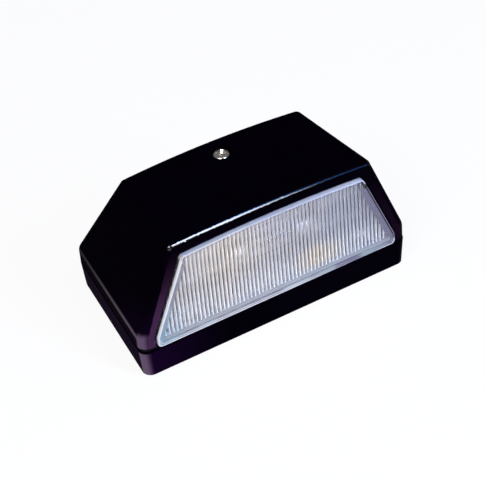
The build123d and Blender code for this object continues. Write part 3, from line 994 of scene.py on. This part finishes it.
def pairTree():
    tree, wire, given = newTree("pairAcross", ["spacing"])
    start = wire.node("ShaderNodeCombineXYZ", sockets={"X": given["spacing"] * -0.5})
    stride = wire.node("ShaderNodeCombineXYZ", sockets={"X": given["spacing"]})
    line = wire.node("GeometryNodeMeshLine", {"mode": "OFFSET"}, {
        "Count": 2, "Start Location": start, "Offset": stride,
    })
    both = wire.node("GeometryNodeInstanceOnPoints", sockets={"Points": line, "Instance": given["Geometry"]})
    closeTree(wire, both, given["finish"])
    return tree


def setPair(piece, tree, half, finish):
    runTree(piece, tree, {"spacing": 2 * half * mm, "finish": finishes[finish]})


def slottedScrew(name, length, seat):
    spec = pairSpec
    radius = spec["screwHead"]
    height = spec["screwHeight"]
    head = softened([
        (0, height, 0),
        (radius * 0.8, height * 0.94, 0.5),
        (radius, height * 0.55, 0.5),
        (radius, 0, 0.15),
        (0, 0, 0),
    ])
    at = (0, middleY, seat)
    screw = newPiece(name, *turnedMesh(head, 48), "zinc", at)
    slot = (radius * 1.6, spec["slotWidth"], spec["slotDepth"])
    carve(screw, [wedge("slot", slot, height, spec["slotTurn"], at)])
    shank = threadedShank(spec["screwShank"], length, spec["thread"], spec["threadPitch"], 16)
    absorb(screw, newPiece("shank", *shank, "zinc", at))
    return screw


def rivetProfile():
    spec = pairSpec
    head = spec["rivetHead"]
    brim = spec["rivetBrim"]
    low = spec["rivetLow"]
    high = spec["rivetHigh"]
    return softened([
        (0, low, 0),
        (head, low, 0.5),
        (head, low + brim, 0.2),
        (spec["rivetRadius"], low + brim, 0),
        (spec["rivetRadius"], high, 0),
        (head, high, 0.2),
        (head * 0.9, high + 0.75, 0.6),
        (0, high + brim, 0),
    ])


def makeFastenerPairs():
    spec = pairSpec
    across = pairTree()
    for kind in ("terminal", "reflector"):
        screws = slottedScrew(kind + "Screws", spec[kind + "Length"], spec[kind + "Seat"])
        setPair(screws, across, spec[kind + "X"], "zinc")
        settle(screws, "steel_zinc", kind + "_screws")
    rivets = newPiece("contactRivets", *turnedMesh(rivetProfile(), 40), "brass", (0, middleY, 0))
    setPair(rivets, across, spec["rivetX"], "brass")
    settle(rivets, "contact_brass", "contact_rivets")


makeFastenerPairs()
print("fastener pairs set")

# Festoon bulb: blown glass, two spun caps and a coiled filament

bulbSpec = {
    "z": 27.0,
    "half": 18.0,
    "glass": 5.4,
    "glassWall": 0.6,
    "straight": 6.2,  # half the length before the shoulders bend
    "shoulder": 10.4,
    "neck": 3.55,
    "neckEnd": 14.0,
    "cap": 4.25,
    "capStart": 11.0,
    "capDepth": 3.1,
    "capPlay": 0.05,
    "cone": 15.4,
    "tip": 1.5,
    "coilRadius": 0.45,
    "coilLength": 12.0,
    "coilTurns": 34.0,
    "wire": 0.085,
    "leadEnd": 13.2,
}
bulbAt = (0, middleY, bulbSpec["z"])


def glassProfile(inset):
    spec = bulbSpec
    full = spec["glass"] - inset
    neck = spec["neck"] - inset
    end = spec["neckEnd"] - inset
    bend = spec["shoulder"] - inset * 0.4 - spec["straight"]
    side = [(full, 0)]
    for k in range(13):
        angle = math.pi / 2 * k / 12
        side.append((neck + (full - neck) * math.cos(angle), spec["straight"] + bend * math.sin(angle)))
    side += [(neck, end - 0.3), (neck - 0.3, end), (0, end)]
    return [(r, -x) for r, x in reversed(side)][:-1] + side


def capProfile():
    spec = bulbSpec
    radius = spec["cap"]
    bore = spec["neck"] + spec["capPlay"]
    start = spec["capStart"]
    return [(0, start + spec["capDepth"])] + softened([
        (bore, start + spec["capDepth"], 0),
        (bore, start, 0.1),
        (radius, start, 0.4),
        (radius, start + 0.9, 0.1),
        (radius - 0.12, start + 1.2, 0.2),  # a rolled groove
        (radius, start + 1.5, 0.1),
        (radius, spec["cone"], 0.5),
        (spec["tip"] + 0.25, spec["half"] - 0.3, 0.4),
        (spec["tip"] * 0.6, spec["half"], 0.5),
        (0, spec["half"], 0),
    ])


def makeBulb():
    inner = glassProfile(bulbSpec["glassWall"])
    glass = newPiece("bulbGlass", *turnedMesh(glassProfile(0), 72, "X"), "bulb", bulbAt)
    hollow = newPiece("bulbHollow", *turnedMesh(inner, 72, "X"), "bulb", bulbAt)
    hollow.data.flip_normals()
    absorb(glass, hollow)
    glass.visible_shadow = False
    settle(glass, "bulb_clear", "bulb_glass")
    for side, name, node in ((1, "bulbCapRight", "bulb_cap_right"), (-1, "bulbCapLeft", "bulb_cap_left")):
        outline = [(r, x * side) for r, x in capProfile()]
        piece = newPiece(name, *turnedMesh(outline, 64, "X"), "zinc", bulbAt)
        settle(piece, "steel_zinc", node)


def coilTree():
    floats = ["coil radius", "coil length", "turns", "wire radius", "lead end"]
    tree, wire, given = newTree("filamentCoil", floats, ["centre"])
    ring = wire.node("GeometryNodeCurvePrimitiveCircle", {"mode": "RADIUS"}, {
        "Resolution": 6, "Radius": given["wire radius"],
    })

    def drawn(line):  # wire along a line
        sockets = {"Curve": line, "Profile Curve": ring, "Fill Caps": True}
        return wire.node("GeometryNodeCurveToMesh", sockets=sockets)

    spiral = wire.node("GeometryNodeCurveSpiral", sockets={
        "Resolution": 18, "Rotations": given["turns"], "Start Radius": given["coil radius"],
        "End Radius": given["coil radius"], "Height": given["coil length"],
    })
    lower = wire.node("ShaderNodeCombineXYZ", sockets={"Z": given["coil length"] * -0.5})
    parts = [wire.node("GeometryNodeTransform", sockets={"Geometry": drawn(spiral), "Translation": lower})]
    for side in (-1, 1):
        end = given["coil length"] * (0.5 * side)
        first = wire.node("ShaderNodeCombineXYZ", sockets={"X": given["coil radius"], "Z": end})
        last = wire.node("ShaderNodeCombineXYZ", sockets={"Z": given["lead end"] * side})
        lead = wire.node("GeometryNodeCurvePrimitiveLine", sockets={"Start": first, "End": last})
        parts.append(drawn(lead))
    whole = wire.node("GeometryNodeJoinGeometry")
    for part in parts:
        tree.links.new(part.socket, whole.socket.node.inputs[0])
    laid = wire.node("GeometryNodeTransform", sockets={
        "Geometry": whole, "Translation": given["centre"], "Rotation": (0, math.pi / 2, 0),
    })
    closeTree(wire, laid, given["finish"])
    return tree


def makeFilament():
    spec = bulbSpec
    filament = addObject("filament", bpy.data.meshes.new("filament"))
    runTree(filament, coilTree(), {
        "coil radius": spec["coilRadius"] * mm,
        "coil length": spec["coilLength"] * mm,
        "turns": spec["coilTurns"],
        "wire radius": spec["wire"] * mm,
        "lead end": spec["leadEnd"] * mm,
        "centre": [v * mm for v in bulbAt],
        "finish": finishes["tungsten"],
    })
    settle(filament, "steel_zinc", "bulb_filament")


makeBulb()
makeFilament()
print("bulb blown and wound")

# Contacts, reflector and rubber

reflectorFinish = {
    "deep": (0.70, 0.69, 0.68, 1),
    "pale": (0.92, 0.91, 0.90, 1),
    # painted shade along the bend
    "bendShade": (0.05, 0.045, 0.05, 1),
    "smokeAndShade": (0.165, 0.15, 0.165, 1),  # painted shade, darker behind the bulb and above it
    "cream": (0.90, 0.80, 0.60, 1),  # warm light off the brass lies on the flat
    "amber": (0.97, 0.80, 0.56, 1),
    "creamSpots": [(-24, -17), (-13, -10)],
    "amberSpots": [(23, -21.6)],
    "creamReach": 9,
    "amberReach": 10,
    "darkLeast": 0.72,
    "darkFrom": (-30, 8),
    "upperShadeShare": 0.9,
    "upperShadeHeight": (13.5, 16.2),
    "bendShadeShare": 0.75,
    "bendShadeHeight": (14.2, 16.4, 20.0, 23.5),
    "cut": (0.20, 0.20, 0.22, 1),
    "cutBefore": -27.2,  # raw front edge of the sheet
    "cutGloss": 0.3,
    "gloss": 0.26,
    "glossSpread": 0.2,
    "streaks": (30, 900, 900),
}


def rolledAluminium():
    spec = reflectorFinish
    made, place = startFinish("rolledAluminium")
    tarnish, lines, scratches = metalWear(place, spec["streaks"], 1)
    worn = tarnish * 0.6 + lines * 0.4
    across, depth, height = place.parts()
    face = worn.blend(spec["deep"], spec["pale"])
    for tone in ("cream", "amber"):
        reach = spec[tone + "Reach"]
        for x, y in spec[tone + "Spots"]:
            face = oval(across - x, depth - y, reach, reach).blend(face, spec[tone])
    # painted shade, stronger towards the right: over the upper part and deepest along the bend
    dark = atLeast(spec["darkLeast"], across.ramp(spec["darkFrom"]))
    face = (spec["upperShadeShare"] * dark * height.ramp(spec["upperShadeHeight"])).blend(face, spec["smokeAndShade"])
    face = (spec["bendShadeShare"] * dark * height.band(spec["bendShadeHeight"])).blend(face, spec["bendShade"])
    cut = depth.maths("LESS_THAN", spec["cutBefore"])
    closeFinish(place, {
        "Base Color": cut.blend(face, spec["cut"]),
        "Metallic": 1.0,
        "Roughness": spec["gloss"] + spec["glossSpread"] * worn + spec["cutGloss"] * cut,
        "Normal": scratches,
    })
    return made


finishes["mirror"] = rolledAluminium()
dressed("contactRight", "contact_spring_right", "brass", "contact_brass", bevel=0.08)
dressed("contactLeft", "contact_spring_left", "brass", "contact_brass", bevel=0.08)
dressed("terminalClamps", "terminal_clamps", "brass", "contact_brass", bevel=0.15)
dressed("foldedReflector", "reflector", "mirror", "reflector_bright")

rubberSpec = {
    "washer": (1.8, 3.7, 0.6),  # bore, rim and thickness
    "grommet": (3.0, 4.6, 6.6),  # bore, waist and flange
    "grommetLevels": (0.1, 1.7, 3.7, 5.3),
}


def makeRubber():
    bore, rim, thick = rubberSpec["washer"]
    high = screwSpec["seat"]
    low = high - thick
    ring = softened([(bore, low, 0.1), (rim, low, 0.2), (rim, high, 0.2), (bore, high, 0.1), (bore, low, 0)])
    washer = newPiece("sealWasher", *turnedMesh(ring, 64), "rubber", (0, screwY, 0))
    settle(washer, "seal_rubber", "screw_seal_washer")
    bore, waist, flange = rubberSpec["grommet"]
    a, b, c, d = rubberSpec["grommetLevels"]
    ring = softened([
        (bore, a, 0.5), (flange, a, 0.5), (flange, b, 0.3), (waist, b, 0.2),
        (waist, c, 0.2), (flange, c, 0.3), (flange, d, 0.7), (bore, d, 0.6), (bore, a, 0),
    ])
    grommet = newPiece("cableGrommet", *turnedMesh(ring, 64), "rubber", (0, middleY, 0))
    settle(grommet, "seal_rubber", "cable_grommet")


insertSpec = {
    "size": (1.8, 3.0, 36.953, 46.953),  # bore, rim, foot and head
    "groove": 0.35,
    "grooveLevels": (3.8, 4.1, 5.9, 6.2),
    "knurls": 40,
    "knurlDepth": 0.16,
}


def makeInsert():
    spec = insertSpec
    bore, rim, low, high = spec["size"]
    groove = rim - spec["groove"]
    a, b, c, d = [low + level for level in spec["grooveLevels"]]
    ring = softened([
        (bore, low, 0.2), (rim, low, 0.3), (rim, a, 0.2), (groove, b, 0.1), (groove, c, 0.1),
        (rim, d, 0.2), (rim, high, 0.2), (bore, high, 0.2), (bore, low, 0),
    ], 2)
    verts, faces = turnedMesh(ring, 4 * spec["knurls"])
    cut = []
    for i, (x, y, z) in enumerate(verts):
        radius = math.hypot(x, y)
        shave = spec["knurlDepth"] if radius > groove + 0.1 and i % 4 in (0, 1) else 0.0
        share = (radius - shave) / radius
        cut.append((x * share, y * share, z))
    insert = newPiece("knurledInsert", cut, faces, "brass", (0, screwY, 0))
    settle(insert, "contact_brass", "threaded_insert")


makeRubber()
makeInsert()
for node in ("lens_seal", "base_gasket"):
    solid = nodes[node]
    if not solid.material_slots:
        solid.data.materials.append(finishes["rubber"])
    for holder in solid.material_slots:
        holder.material = finishes["rubber"]
print("contacts, reflector and rubber placed")

# Pale floor and soft light

lightSpec = {
    "floorHalf": 8.0,
    "floorLevel": -0.0004,
    "floorTone": (0.86, 0.86, 0.87, 1),
    "floorShow": 0.9,
    "world": (0.72, 0.76, 0.86, 1),
    "worldStrength": 0.22,
    "aim": (0, 0, 0.03),
    "lamps": [
        ("leftBox", (-0.75, -0.55, 0.95), 0.7, 0.7, 13.0, (1.0, 0.94, 0.95)),
        ("frontStrip", (0.34, -0.80, 0.62), 0.17, 1.2, 10.0, (0.84, 0.91, 1.0)),
        ("blueStrip", (0.47, -0.74, 0.62), 0.12, 1.2, 4.0, (0.05, 0.30, 1.0)),
    ],
}


def addFloor():
    spec = lightSpec
    half = spec["floorHalf"]
    corners = ((-half, -half), (half, -half), (half, half), (-half, half))
    mesh = bpy.data.meshes.new("paleFloor")
    mesh.from_pydata([(x, y, spec["floorLevel"]) for x, y in corners], [], [(0, 1, 2, 3)])
    floor = addObject("paleFloor", mesh)
    made, wire = startFinish("paleFloor")
    rays = wire.node("ShaderNodeLightPath").socket.node
    kinds = ("Is Camera Ray", "Is Glossy Ray", "Is Transmission Ray")
    seen = sum(Wire(wire.tree, rays.outputs[kind]) for kind in kinds)
    matt = wire.node("ShaderNodeBsdfDiffuse", sockets={"Color": spec["floorTone"]})
    glow = wire.node("ShaderNodeEmission", sockets={"Color": (1, 1, 1, 1), "Strength": 1.0})
    closeMixed(wire, seen.capped() * spec["floorShow"], matt, glow)
    mesh.materials.append(made)


def addLamps():
    aim = Vector(lightSpec["aim"])
    for name, spot, wide, tall, power, colour in lightSpec["lamps"]:
        data = bpy.data.lights.new(name, "AREA")
        data.shape = "RECTANGLE"
        data.size = wide
        data.size_y = tall
        data.energy = power
        data.color = colour
        lamp = addObject(name, data)
        lamp.location = spot
        lamp.rotation_euler = (aim - Vector(spot)).to_track_quat("-Z", "Y").to_euler()
    world = bpy.data.worlds.new("softRoom")
    world.use_nodes = True
    back = world.node_tree.nodes["Background"]
    back.inputs["Color"].default_value = lightSpec["world"]
    back.inputs["Strength"].default_value = lightSpec["worldStrength"]
    scene.world = world


addFloor()
addLamps()
scene.view_settings.view_transform = "Standard"
scene.cycles.max_bounces = 32
scene.cycles.glossy_bounces = 24  # light runs along inside the lens before it leaves
scene.cycles.transmission_bounces = 32
print("floor and lamps set")
